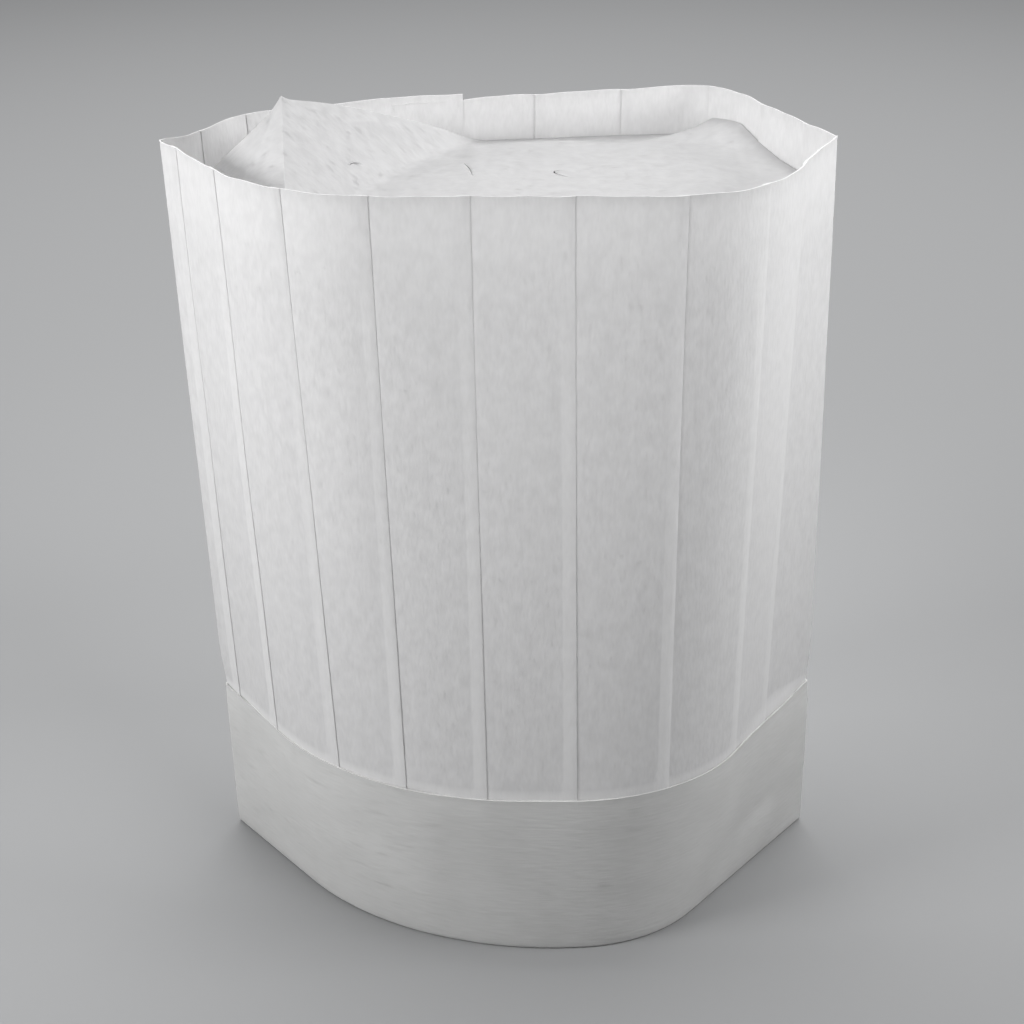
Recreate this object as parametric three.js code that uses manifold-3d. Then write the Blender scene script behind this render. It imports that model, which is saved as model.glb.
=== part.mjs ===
// A disposable chef hat: a tall pleated crown of thin nonwoven sheet, a plain folded headband
// and a flat top panel that closes the crown a little below its rim.
// Millimetres, +Z up, the front faces -Y, and the origin is on the floor below the middle.

import * as THREE from 'three';
import Module from 'manifold-3d';

// Driving sizes

const HAT_HEIGHT = 254;
const BAND_HEIGHT = 60;
const INNER_BAND_HEIGHT = 65;
const WALL = 1;
const GAP = 0.3;
const CURVE_CLEARANCE = 0.4;
const CROWN_FOOT = 45;
const PLEAT_TUCK_AT_BAND = 4.5;
const PLEAT_TUCK_AT_RIM = 3.7;
const STEPS_PER_PANEL = 4;
const CROWN_ROWS = 4;
const BAND_STEPS = 40;
const PANEL_STEPS = 30;

const PANEL_LEVEL = 237;
const PANEL_THICKNESS = 1.25;
const CROWNING = { height: 5, x: 10, halfLength: 88, halfDepth: 64 };
const CREASE_DROP = 7;
const CREASE_DROP_REACH = 0.15;
const FLANGE_FOOT = 225;

// The left end of the top panel stands up as a gusset: three folds meet in its peak.
const GUSSET_PEAK = { x: -74, y: 0, z: 268 };
const GUSSET_FRONT_FOLD = 0.26;
const GUSSET_BACK_FOLD = 0.437;

// Places along a half are shares of its length, from the left crease to the right crease.
const SEAM_PLACE = 0.421;
const SEAM_LAP = 0.085;
const SEAM_RISE = 1.4;
const BAND_LAP = { start: 0.4, end: 0.5, edge: 0.002, rise: 0.6 };

// The plan at three levels. Each half runs from the left crease to the right crease,
// as straight runs joined by round corners.
const LEVELS = [
  {
    name: 'base', z: 0, left: { x: -102.5, y: 0 }, right: { x: 102.5, y: 0 },
    front: [{ x: -38.7, y: -85, radius: 105 }, { x: 44.3, y: -81, radius: 51 }],
    back: [{ x: -42, y: 84, radius: 100 }, { x: 44.3, y: 82, radius: 55 }],
  },
  {
    name: 'band top', z: BAND_HEIGHT, left: { x: -104, y: -6 }, right: { x: 102.5, y: -6 },
    front: [{ x: -52.4, y: -88.4, radius: 103 }, { x: 53.7, y: -88.7, radius: 62 }],
    back: [{ x: -52, y: 77, radius: 95 }, { x: 56, y: 78, radius: 60 }],
  },
  {
    name: 'rim', z: HAT_HEIGHT, left: { x: -114, y: 0 }, right: { x: 104, y: 0 },
    front: [{ x: -74.5, y: -68, radius: 68 }, { x: 76, y: -70.7, radius: 45 }],
    back: [
      { x: -92.4, y: 39.9, radius: 23.5 }, { x: -42.4, y: 59.4, radius: 60 }, { x: 71.8, y: 75.5, radius: 19.2 },
    ],
  },
];

// Each pleat's folded edge, as the share of its half between the left and the right crease.
const FRONT_PLEATS = [
  { band: 0.051, rim: 0.053 },
  { band: 0.155, rim: 0.157 },
  { band: 0.269, rim: 0.26 },
  { band: 0.364, rim: 0.356 },
  { band: 0.465, rim: 0.459 },
  { band: 0.567, rim: 0.567 },
  { band: 0.68, rim: 0.68 },
  { band: 0.8, rim: 0.786 },
  { band: 0.884, rim: 0.892 },
];
const BACK_PLEATS_LEFT_OF_SEAM = [
  { band: 0.1, rim: 0.1 },
  { band: 0.21, rim: 0.205 },
  { band: 0.315, rim: 0.31 },
];
const BACK_PLEATS_RIGHT_OF_SEAM = [
  { band: 0.525, rim: 0.521 },
  { band: 0.63, rim: 0.626 },
  { band: 0.737, rim: 0.735 },
  { band: 0.84, rim: 0.842 },
  { band: 0.94, rim: 0.944 },
];

const VENTS = [
  { x: -51, y: -4, reach: 1.5, half: 3 },
  { x: -14.5, y: 6, reach: 1.2, half: 4.5 },
  { x: 15.5, y: 3, reach: 2.3, half: 3 },
];
const VENT_WIDTH = 1;
const CUT_MARGIN = 5;

// Sizes worked out from these

const PLEAT_STEP = WALL + GAP;
const NORMAL_STEP = 0.001;
const CROWN_HALF_STACK = PLEAT_STEP + WALL / 2;
const CAVITY = 2 * (CROWN_HALF_STACK + CURVE_CLEARANCE);
const CROWN_INSET_AT_BAND = WALL + CAVITY / 2;
const CROWN_INSET_AT_RIM = CROWN_HALF_STACK;
const FLANGE_CLEARANCE = CROWN_HALF_STACK + CURVE_CLEARANCE;

// Rings of the top panel, from the gusset's peak to the fold at its foot and on to the wall.
const INNER_RINGS = [0.33, 0.67, 1];
const OUTER_RINGS = [0.3, 0.65, 1];
const LAST_INNER_RING = 0.93;

const wasm = await Module();
wasm.setup();

const lerp = THREE.MathUtils.lerp;

const material = (name, color, roughness) =>
  new THREE.MeshStandardMaterial({ name, color, roughness, metalness: 0 });
const thinSheet = material('thin nonwoven sheet', 0xe4e7ea, 0.9);
const bandSheet = material('folded nonwoven strip', 0xe6e6e4, 0.85);
const panelSheet = material('top sheet', 0xe8e9ea, 0.9);

// Outline of the hat

function roundCornerPath(start, corners, end) {
  const path = new THREE.CurvePath();
  let from = new THREE.Vector2(start.x, start.y);
  corners.forEach((corner, index) => {
    const here = new THREE.Vector2(corner.x, corner.y);
    const before = index === 0 ? start : corners[index - 1];
    const after = index === corners.length - 1 ? end : corners[index + 1];
    const back = new THREE.Vector2(before.x, before.y).sub(here).normalize();
    const on = new THREE.Vector2(after.x, after.y).sub(here).normalize();
    const halfAngle = Math.acos(back.dot(on)) / 2;
    const run = corner.radius / Math.tan(halfAngle);
    const middle = back.clone().add(on).normalize();
    const centre = here.clone().addScaledVector(middle, corner.radius / Math.sin(halfAngle));
    const entry = here.clone().addScaledVector(back, run);
    const exit = here.clone().addScaledVector(on, run);
    const first = Math.atan2(entry.y - centre.y, entry.x - centre.x);
    const last = Math.atan2(exit.y - centre.y, exit.x - centre.x);
    const clockwise = back.cross(on) > 0;
    path.add(new THREE.LineCurve(from, entry));
    path.add(new THREE.EllipseCurve(centre.x, centre.y, corner.radius, corner.radius, first, last, clockwise));
    from = exit;
  });
  path.add(new THREE.LineCurve(from, new THREE.Vector2(end.x, end.y)));
  return path;
}

const levelPaths = LEVELS.map((level) => ({
  z: level.z,
  front: roundCornerPath(level.left, level.front, level.right),
  back: roundCornerPath(level.left, level.back, level.right),
}));

function levelsAround(z) {
  const upper = z > BAND_HEIGHT ? 2 : 1;
  const low = levelPaths[upper - 1];
  const high = levelPaths[upper];
  return { low, high, share: Math.min((z - low.z) / (high.z - low.z), 1) };
}

function planPoint(side, place, z) {
  const { low, high, share } = levelsAround(z);
  const from = low[side].getPoint(place);
  const to = high[side].getPoint(place);
  return new THREE.Vector2(lerp(from.x, to.x, share), lerp(from.y, to.y, share));
}

function halfLength(side, z) {
  const { low, high, share } = levelsAround(z);
  return lerp(low[side].getLength(), high[side].getLength(), share);
}

function sideNormal(side, place, z) {
  const before = planPoint(side, Math.max(place - NORMAL_STEP, 0), z);
  const after = planPoint(side, Math.min(place + NORMAL_STEP, 1), z);
  const along = after.sub(before).normalize();
  const outward = new THREE.Vector2(along.y, -along.x);
  return side === 'front' ? outward : outward.negate();
}

// At the two flat-fold creases the front and back faces share one mitred normal.
function outward(side, place, z) {
  if (place > 0 && place < 1) {
    return sideNormal(side, place, z);
  }
  const front = sideNormal('front', place, z);
  const back = sideNormal('back', place, z);
  const mitre = 1 + front.dot(back);
  return front.add(back).divideScalar(mitre);
}

function offsetPoint(side, place, z, offset) {
  return planPoint(side, place, z).addScaledVector(outward(side, place, z), offset);
}

// Closed bodies from rows of points

class Shell {
  constructor() {
    this.vertices = [];
    this.faces = [];
  }

  point(plan, z) {
    this.vertices.push(plan.x, plan.y, z);
    return this.vertices.length / 3 - 1;
  }

  quad(a, b, c, d) {
    this.faces.push(a, b, c, a, c, d);
  }

  skin(lower, upper, closed) {
    const count = closed ? lower.length : lower.length - 1;
    for (let i = 0; i < count; i += 1) {
      const next = (i + 1) % lower.length;
      this.quad(lower[i], lower[next], upper[next], upper[i]);
    }
  }

  fan(pole, ring) {
    ring.forEach((index, i) => this.faces.push(pole, index, ring[(i + 1) % ring.length]));
  }

  geometry() {
    const geometry = new THREE.BufferGeometry();
    geometry.setAttribute('position', new THREE.Float32BufferAttribute(this.vertices, 3));
    geometry.setIndex(this.faces);
    return geometry;
  }
}

// Headband: one strip folded double along its bottom edge, closed into a ring by a lap at the back

function bandStations() {
  const steps = BAND_STEPS;
  const stations = [];
  for (let i = 0; i <= steps; i += 1) {
    stations.push({ side: 'front', place: i / steps, rise: 0 });
  }
  const lapEnd = BAND_LAP.end;
  const backPlaces = [];
  for (let i = steps - 1; i > 0; i -= 1) {
    const place = i / steps;
    if (Math.abs(place - lapEnd) > 0.5 / steps) {
      backPlaces.push(place);
    }
  }
  backPlaces.push(lapEnd + BAND_LAP.edge, lapEnd);
  backPlaces.sort((a, b) => b - a);
  backPlaces.forEach((place) => {
    const onLap = place <= lapEnd && place > BAND_LAP.start;
    const share = onLap ? (place - BAND_LAP.start) / (lapEnd - BAND_LAP.start) : 0;
    stations.push({ side: 'back', place, rise: share * BAND_LAP.rise });
  });
  return stations;
}

function headbandGeometry() {
  const innerFace = -(2 * WALL + CAVITY);
  const profile = [
    { offset: 0, z: 0, outer: true },
    { offset: 0, z: BAND_HEIGHT, outer: true },
    { offset: -WALL, z: BAND_HEIGHT },
    { offset: -WALL, z: WALL },
    { offset: innerFace + WALL, z: WALL },
    { offset: innerFace + WALL, z: INNER_BAND_HEIGHT },
    { offset: innerFace, z: INNER_BAND_HEIGHT },
    { offset: innerFace, z: 0 },
  ];
  const shell = new Shell();
  const rows = profile.map((corner) => bandStations().map((station) => {
    const offset = corner.offset + (corner.outer ? station.rise : 0);
    return shell.point(offsetPoint(station.side, station.place, corner.z, offset), corner.z);
  }));
  rows.forEach((row, i) => shell.skin(row, rows[(i + 1) % rows.length], true));
  return shell.geometry();
}

// Crown: one sheet with knife pleats, whose ends lap at the back

// A panel starts innermost, behind the pleat before it, and ends outermost at its own folded edge.
// There the sheet turns back behind itself by the tuck, and turns again into the next panel.
function pleatedStations(side, pleats, start, end, z) {
  const share = THREE.MathUtils.clamp((z - BAND_HEIGHT) / (HAT_HEIGHT - BAND_HEIGHT), 0, 1);
  const tuck = lerp(PLEAT_TUCK_AT_BAND, PLEAT_TUCK_AT_RIM, share) / halfLength(side, z);
  const stations = [];
  let from = start;
  pleats.forEach((pleat) => {
    const fold = lerp(pleat.band, pleat.rim, share);
    for (let i = 0; i < STEPS_PER_PANEL; i += 1) {
      const part = i / STEPS_PER_PANEL;
      stations.push({ side, place: lerp(from.place, fold, part), depth: lerp(from.depth, PLEAT_STEP, part) });
    }
    stations.push({ side, place: fold, depth: PLEAT_STEP });
    stations.push({ side, place: fold, depth: 0 });
    stations.push({ side, place: fold - tuck, depth: 0 });
    from = { place: fold - tuck, depth: -PLEAT_STEP };
  });
  for (let i = 0; i <= STEPS_PER_PANEL; i += 1) {
    const part = i / STEPS_PER_PANEL;
    stations.push({ side, place: lerp(from.place, end.place, part), depth: lerp(from.depth, end.depth, part) });
  }
  return stations;
}

function crownStations(z) {
  const leftCrease = { place: 0, depth: 0 };
  const rightCrease = { place: 1, depth: 0 };
  const innerEnd = { place: SEAM_PLACE, depth: -PLEAT_STEP / 2 };
  const outerEnd = { place: SEAM_PLACE - SEAM_LAP, depth: PLEAT_STEP / 2 };
  const backLeft = pleatedStations('back', BACK_PLEATS_LEFT_OF_SEAM, leftCrease, innerEnd, z).reverse();
  const front = pleatedStations('front', FRONT_PLEATS, leftCrease, rightCrease, z);
  const backRight = pleatedStations('back', BACK_PLEATS_RIGHT_OF_SEAM, outerEnd, rightCrease, z).reverse();
  backLeft.forEach((station) => {
    station.rise = SEAM_RISE * station.place / SEAM_PLACE;
  });
  return [...backLeft, ...front.slice(1), ...backRight.slice(1)];
}

// The line moved sideways, with mitred corners.
function offsetLine(points, distance) {
  return points.map((point, i) => {
    const into = i === 0 ? null : point.clone().sub(points[i - 1]).normalize();
    const out = i === points.length - 1 ? null : points[i + 1].clone().sub(point).normalize();
    const first = into ?? out;
    const second = out ?? into;
    const normal = new THREE.Vector2(first.y + second.y, -first.x - second.x);
    return point.clone().addScaledVector(normal, distance / (1 + first.dot(second)));
  });
}

function crownGeometry() {
  const levels = [CROWN_FOOT];
  for (let i = 0; i <= CROWN_ROWS; i += 1) {
    levels.push(lerp(BAND_HEIGHT, HAT_HEIGHT, i / CROWN_ROWS));
  }
  const shell = new Shell();
  const rows = levels.map((z) => {
    const share = THREE.MathUtils.clamp((z - BAND_HEIGHT) / (HAT_HEIGHT - BAND_HEIGHT), 0, 1);
    const inset = lerp(CROWN_INSET_AT_BAND, CROWN_INSET_AT_RIM, share);
    const stations = crownStations(z);
    const middle = stations.map(({ side, place, depth }) => offsetPoint(side, place, z, depth - inset));
    const heights = stations.map(({ rise }) => z + (rise ?? 0) * share);
    const outer = offsetLine(middle, WALL / 2).map((plan, i) => shell.point(plan, heights[i]));
    const inner = offsetLine(middle, -WALL / 2).map((plan, i) => shell.point(plan, heights[i]));
    return { outer, inner };
  });
  rows.slice(1).forEach((upper, i) => {
    const lower = rows[i];
    shell.skin([...lower.outer, ...lower.inner.toReversed()], [...upper.outer, ...upper.inner.toReversed()], true);
  });
  const foot = rows[0];
  const rim = rows.at(-1);
  shell.skin(foot.inner, foot.outer, false);
  shell.skin(rim.outer, rim.inner, false);
  return shell.geometry();
}

// Top panel: a sheet across the crown with its edge turned down as a flange

function panelStations() {
  const steps = PANEL_STEPS;
  const stations = [];
  for (let i = 0; i <= steps; i += 1) {
    stations.push({ side: 'front', place: i / steps });
  }
  for (let i = steps - 1; i > 0; i -= 1) {
    stations.push({ side: 'back', place: i / steps });
  }
  const nearest = (side, place) => stations.filter((s) => s.side === side)
    .reduce((best, s) => (Math.abs(s.place - place) < Math.abs(best.place - place) ? s : best));
  nearest('front', GUSSET_FRONT_FOLD).place = GUSSET_FRONT_FOLD;
  nearest('back', GUSSET_BACK_FOLD).place = GUSSET_BACK_FOLD;
  return stations;
}

const edgeLevel = (place) => PANEL_LEVEL - CREASE_DROP * Math.max(0, 1 - place / CREASE_DROP_REACH);

function flangePoint(side, place, z, depth) {
  const share = (z - BAND_HEIGHT) / (HAT_HEIGHT - BAND_HEIGHT);
  const inset = lerp(CROWN_INSET_AT_BAND, CROWN_INSET_AT_RIM, share) + FLANGE_CLEARANCE;
  return offsetPoint(side, place, z, -inset - depth);
}

// Share of the way from the peak to the wall at which the gusset meets the flat sheet:
// all the way on the left, and the line between its front and back folds on the right.
function gussetReach(wall) {
  const peak = new THREE.Vector2(GUSSET_PEAK.x, GUSSET_PEAK.y);
  const front = flangePoint('front', GUSSET_FRONT_FOLD, PANEL_LEVEL, 0);
  const back = flangePoint('back', GUSSET_BACK_FOLD, PANEL_LEVEL, 0);
  const line = back.clone().sub(front);
  const ray = wall.clone().sub(peak);
  const crossing = front.clone().sub(peak).cross(line) / ray.cross(line);
  return crossing > 0 && crossing < 1 ? crossing : 1;
}

// The flat sheet swells a little in its middle.
function crowning(plan) {
  const across = (plan.x - CROWNING.x) / CROWNING.halfLength;
  const deep = plan.y / CROWNING.halfDepth;
  return CROWNING.height * Math.max(0, 1 - across * across - deep * deep);
}

function panelGeometry() {
  const shell = new Shell();
  const peak = new THREE.Vector2(GUSSET_PEAK.x, GUSSET_PEAK.y);
  const stations = panelStations();
  const surfaceRows = (thickness, depth) => {
    const lines = stations.map(({ side, place }) => {
      const level = edgeLevel(place);
      const wall = flangePoint(side, place, level, depth);
      const reach = gussetReach(flangePoint(side, place, level, 0));
      const split = Math.min(reach, LAST_INNER_RING);
      const shares = [
        ...INNER_RINGS.map((share) => share * split),
        ...OUTER_RINGS.map((share) => lerp(split, 1, share)),
      ];
      return shares.map((share) => {
        const plan = peak.clone().lerp(wall, share);
        const gusset = (GUSSET_PEAK.z - PANEL_LEVEL) * Math.max(0, 1 - share / reach);
        const z = lerp(PANEL_LEVEL, level, share) + gusset + crowning(plan) - thickness;
        return shell.point(plan, z);
      });
    });
    return lines[0].map((first, ring) => lines.map((line) => line[ring]));
  };
  const flangeRow = (depth) =>
    stations.map(({ side, place }) => shell.point(flangePoint(side, place, FLANGE_FOOT, depth), FLANGE_FOOT));
  const top = surfaceRows(0, 0);
  const underside = surfaceRows(PANEL_THICKNESS, WALL);
  const topPole = shell.point(peak, GUSSET_PEAK.z + crowning(peak));
  const lowPole = shell.point(peak, GUSSET_PEAK.z + crowning(peak) - PANEL_THICKNESS);
  const rows = [...top, flangeRow(0), flangeRow(WALL), ...underside.toReversed()];
  shell.fan(topPole, top[0]);
  rows.slice(1).forEach((row, i) => shell.skin(row, rows[i], true));
  shell.fan(lowPole, underside[0].toReversed());
  return shell.geometry();
}

// Boolean cuts for the vents

function toSolid(geometry) {
  const vertProperties = new Float32Array(geometry.attributes.position.array);
  const triVerts = new Uint32Array(geometry.index.array);
  return new wasm.Manifold(new wasm.Mesh({ numProp: 3, vertProperties, triVerts }));
}

function toGeometry(solid) {
  const { vertProperties, triVerts } = solid.getMesh();
  const geometry = new THREE.BufferGeometry();
  geometry.setAttribute('position', new THREE.BufferAttribute(new Float32Array(vertProperties), 3));
  geometry.setIndex(new THREE.BufferAttribute(new Uint32Array(triVerts), 1));
  return geometry;
}

// A slit bent to a shallow V, whose point looks left.
function ventCutter(vent) {
  const outline = [
    new THREE.Vector2(-vent.reach, 0),
    new THREE.Vector2(vent.reach, -vent.half),
    new THREE.Vector2(vent.reach + VENT_WIDTH, -vent.half),
    new THREE.Vector2(-vent.reach + VENT_WIDTH, 0),
    new THREE.Vector2(vent.reach + VENT_WIDTH, vent.half),
    new THREE.Vector2(vent.reach, vent.half),
  ];
  const shell = new Shell();
  const lower = outline.map((point) => shell.point(point, PANEL_LEVEL - CUT_MARGIN));
  const upper = outline.map((point) => shell.point(point, GUSSET_PEAK.z + CUT_MARGIN));
  shell.skin(lower, upper, true);
  THREE.ShapeUtils.triangulateShape(outline, []).forEach(([a, b, c]) => {
    shell.faces.push(upper[a], upper[b], upper[c]);
    shell.faces.push(lower[c], lower[b], lower[a]);
  });
  return shell.geometry().translate(vent.x, vent.y, 0);
}

function ventedPanelGeometry() {
  const panel = toSolid(panelGeometry());
  return toGeometry(VENTS.reduce((solid, vent) => solid.subtract(toSolid(ventCutter(vent))), panel));
}

// The assembled hat

function piece(name, geometry, finish) {
  const mesh = new THREE.Mesh(geometry, finish);
  mesh.name = name;
  return mesh;
}

const chefHat = new THREE.Group();
chefHat.name = 'chef hat';
chefHat.add(piece('headband', headbandGeometry(), bandSheet));
chefHat.add(piece('crown', crownGeometry(), thinSheet));
chefHat.add(piece('top_panel', ventedPanelGeometry(), panelSheet));

// The origin is on the floor, below the middle of the hat's box.
const middle = new THREE.Box3().setFromObject(chefHat).getCenter(new THREE.Vector3());
chefHat.position.set(-middle.x, -middle.y, 0);

export default chefHat;
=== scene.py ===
# %% [markdown]
# A disposable chef hat, standing on its headband.
#
# The real hat is three sheets of nonwoven fabric: a thin pleated one for the crown, a heavier strip folded
# double for the headband, and a thin top sheet whose edge is turned down inside the crown. Nothing is stuffed
# and nothing is stiff, so every piece is a surface worked out by a formula and then given its thickness.
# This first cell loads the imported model, which fixes the size and the place of everything.

import bpy
import numpy as np
from mathutils import Matrix, Vector


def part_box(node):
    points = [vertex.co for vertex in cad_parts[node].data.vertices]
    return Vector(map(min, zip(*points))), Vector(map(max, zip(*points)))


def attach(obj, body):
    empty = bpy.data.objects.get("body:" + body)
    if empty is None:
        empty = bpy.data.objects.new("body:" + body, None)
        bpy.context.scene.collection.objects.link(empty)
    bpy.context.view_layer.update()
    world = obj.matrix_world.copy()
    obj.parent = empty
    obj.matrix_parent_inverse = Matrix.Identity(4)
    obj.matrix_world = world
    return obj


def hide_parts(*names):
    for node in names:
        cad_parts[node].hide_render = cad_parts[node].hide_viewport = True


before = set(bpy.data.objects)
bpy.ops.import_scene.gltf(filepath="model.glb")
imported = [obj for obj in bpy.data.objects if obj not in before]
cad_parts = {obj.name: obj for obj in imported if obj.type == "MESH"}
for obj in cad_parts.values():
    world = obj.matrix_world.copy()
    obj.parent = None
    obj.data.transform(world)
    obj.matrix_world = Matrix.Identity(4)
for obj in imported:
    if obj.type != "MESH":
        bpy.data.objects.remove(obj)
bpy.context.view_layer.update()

MM = 0.001
scene = bpy.context.scene

# %% [markdown]
# The plan of the hat.
#
# Packed flat, such a hat is two halves that lie on each other, so an opened one still has two sharp creases,
# left and right, and each half is a run from crease to crease. The plan could be one ellipse, but then the
# creases and the square shoulders would be lost. Straight runs joined by arcs need only a few numbers at each
# of three levels: the floor, the top of the headband and the rim. Between the levels the halves are blended at
# equal shares of their length, which keeps the pleats straight, as a sheet of paper would.

# %% The plan at three levels
HAT_HEIGHT = 254
BAND_HEIGHT = 60

# Each corner is (x, y, radius), in millimetres.
LEVELS = [
    {
        "height": 0, "left": (-102.5, 0), "right": (102.5, 0),
        "front": [(-38.7, -85, 105), (44.3, -81, 51)],
        "back": [(-42, 84, 100), (44.3, 82, 55)],
    },
    {
        "height": BAND_HEIGHT, "left": (-104, -6), "right": (102.5, -6),
        "front": [(-52.4, -88.4, 103), (53.7, -88.7, 62)],
        "back": [(-52, 77, 95), (56, 78, 60)],
    },
    {
        "height": HAT_HEIGHT, "left": (-114, 0), "right": (104, 0),
        "front": [(-74.5, -68, 68), (76, -70.7, 45)],
        "back": [(-92.4, 39.9, 23.5), (-42.4, 59.4, 60), (71.8, 75.5, 19.2)],
    },
]


def unit(vector):
    """The vector divided by its own length."""
    return vector / np.linalg.norm(vector)


def distance_along(points):
    """How far along a line each of its points lies: the running sum of the steps between them."""
    return np.concatenate([[0], np.cumsum(np.linalg.norm(np.diff(points, axis=0), axis=1))])


def half_line(left, corners, right, arc_steps=48):
    """Half of the plan as a dense line, with the share of its length at each point.

    At a corner the arc's centre lies on the line that halves the angle, radius / sin(half the angle) away, and
    the arc touches the two runs radius / tan(half the angle) from the corner.
    """
    stops = [np.array(stop[:2], float) for stop in (left, *corners, right)]
    pieces = [stops[0][None]]
    for before, here, after, corner in zip(stops, stops[1:], stops[2:], corners):
        radius = corner[2]
        back, on = unit(before - here), unit(after - here)
        half_angle = np.arccos(back @ on) / 2
        centre = here + unit(back + on) * radius / np.sin(half_angle)
        start = here + back * radius / np.tan(half_angle) - centre
        end = here + on * radius / np.tan(half_angle) - centre
        first, last = np.arctan2(start[1], start[0]), np.arctan2(end[1], end[0])
        turn = (last - first + np.pi) % (2 * np.pi) - np.pi
        angle = first + turn * np.linspace(0, 1, arc_steps)
        pieces.append(centre + radius * np.stack([np.cos(angle), np.sin(angle)], axis=1))
    pieces.append(stops[-1][None])
    points = np.concatenate(pieces)
    length = distance_along(points)
    return {"share": length / length[-1], "points": points, "length": length[-1]}


halves = [
    {side: half_line(level["left"], level[side], level["right"]) for side in ("front", "back")}
    for level in LEVELS
]
for level, pair in zip(LEVELS, halves):
    girth = pair["front"]["length"] + pair["back"]["length"]
    print("At", level["height"], "mm the girth is", round(girth), "mm")

# %% [markdown]
# Places on the plan.
#
# Cloth keeps its length, so a place on the hat is given as a share of one half's length, and a height. These
# functions turn that into a point, and into the direction that faces outwards there, along which layers of
# cloth are laid on each other. An angle round the middle would do too, but it would stretch the straight runs.

# %% Points and normals on the plan


def blend(low, high, share):
    """The straight line from low to high."""
    return low + (high - low) * share


def share_above_band(height):
    """How far up the crown a height is: the straight line from 0 at the headband's top to 1 at the rim."""
    return np.clip((height - BAND_HEIGHT) / (HAT_HEIGHT - BAND_HEIGHT), 0, 1)


def level_weights(height):
    """How much each of the three levels counts at a height: straight-line weights that add up to one."""
    low = np.clip(height / BAND_HEIGHT, 0, 1)
    high = share_above_band(height)
    return 1 - low, low - high, high


def plan(side, place, height):
    """The point at a share of one half's length: each level's own point, blended by the level weights."""
    place, height = np.broadcast_arrays(place, height)
    point = np.zeros(place.shape + (2,))
    for weight, pair in zip(level_weights(height), halves):
        line = pair[side]
        for axis in range(2):
            point[..., axis] += weight * np.interp(place, line["share"], line["points"][:, axis])
    return point


def half_length(side, height):
    """The length of one half at a height: each level's own length, blended by the level weights."""
    return sum(weight * pair[side]["length"] for weight, pair in zip(level_weights(height), halves))


def side_normal(side, place, height, step=0.001):
    """The outward normal: the direction from just before a point to just after it, turned by a right angle."""
    along = plan(side, np.minimum(place + step, 1), height) - plan(side, np.maximum(place - step, 0), height)
    along /= np.linalg.norm(along, axis=-1, keepdims=True)
    outward = np.stack([along[..., 1], -along[..., 0]], axis=-1)
    return outward if side == "front" else -outward


def outline(is_front, place, height, offset):
    """Points of the plan, moved outwards by an offset.

    At the creases the two halves share a mitred normal: the sum of both, divided by one plus their product.
    """
    place, height = np.broadcast_arrays(place, height)
    front, back = side_normal("front", place, height), side_normal("back", place, height)
    mitre = (front + back) / (1 + (front * back).sum(-1, keepdims=True))
    on_front = np.broadcast_to(is_front, place.shape)[..., None]
    at_crease = ((place <= 0) | (place >= 1))[..., None]
    normal = np.where(at_crease, mitre, np.where(on_front, front, back))
    base = np.where(on_front, plan("front", place, height), plan("back", place, height))
    return base + normal * np.asarray(offset)[..., None]


EDGE_SAMPLES = 801
band_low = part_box("headband")[0]
edge_places = np.linspace(0, 1, EDGE_SAMPLES)
edge_points = plan("front", edge_places, np.full_like(edge_places, BAND_HEIGHT))
place_x = band_low[0] - edge_points[:, 0].min() * MM
place_y = band_low[1] - edge_points[:, 1].min() * MM
print("The plan's own origin lies at", round(place_x * 1000, 2), round(place_y * 1000, 2), "mm in the frame")

# %% [markdown]
# From arrays to a mesh.
#
# Every sheet is a grid of points, rows by columns. Blender could be asked to add vertices one at a time, but it
# is far quicker, and shorter to read, to write whole arrays into the mesh at once. Each sheet also gets a UV
# map whose two numbers are real metres along and up the flat sheet, so that the weave in the materials keeps
# its size and runs with the cloth. Solidify then gives the sheet its thickness, half to each side.

# %% Grid helpers
SHARP_ANGLE = 38
# A point with nothing behind it gets no painted light in its colour.
NO_BACKING_LIGHT = -10.0


def grid_faces(rows, columns, closed=False):
    """Four corners for every cell of a grid, wrapped round to the first column if the grid is closed."""
    index = np.arange(rows * columns).reshape(rows, columns)
    right = np.roll(index, -1, axis=1) if closed else index[:, 1:]
    left = index if closed else index[:, :-1]
    return np.stack([left[:-1], right[:-1], right[1:], left[1:]], axis=-1).reshape(-1, 4).tolist()


def with_height(ground, height):
    """Points in space from points on the plan and the height of each."""
    return np.concatenate([ground, height[..., None]], axis=-1)


def make_sheet(name, points, faces, flat, backing_light_paint=None):
    """A mesh object from points in millimetres of the plan, faces, and each point's place on the flat sheet.

    Where given, the last argument says how strongly other cloth shows behind each point, which the finish paints
    in as painted light.
    """
    metres = points * MM
    metres[:, 0] += place_x
    metres[:, 1] += place_y
    mesh = bpy.data.meshes.new(name)
    mesh.from_pydata(metres.tolist(), [], faces)
    uv_layer = mesh.uv_layers.new(name="flat_sheet")
    corner_vertex = np.empty(len(mesh.loops), dtype=np.int32)
    mesh.loops.foreach_get("vertex_index", corner_vertex)
    uv_layer.data.foreach_set("uv", (flat[corner_vertex] * MM).ravel())
    if backing_light_paint is None:
        backing_light_paint = np.full(len(points), NO_BACKING_LIGHT)
    # The attribute carries painted light: how much whiter the finish paints the colour where cloth lies behind.
    painted_layer_light = mesh.attributes.new("painted_layer_light", "FLOAT", "POINT")
    painted_layer_light.data.foreach_set("value", backing_light_paint.astype(np.float32))
    mesh.polygons.foreach_set("use_smooth", np.ones(len(mesh.polygons), dtype=bool))
    mesh.update()
    piece = bpy.data.objects.new(name, mesh)
    scene.collection.objects.link(piece)
    return piece


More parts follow.
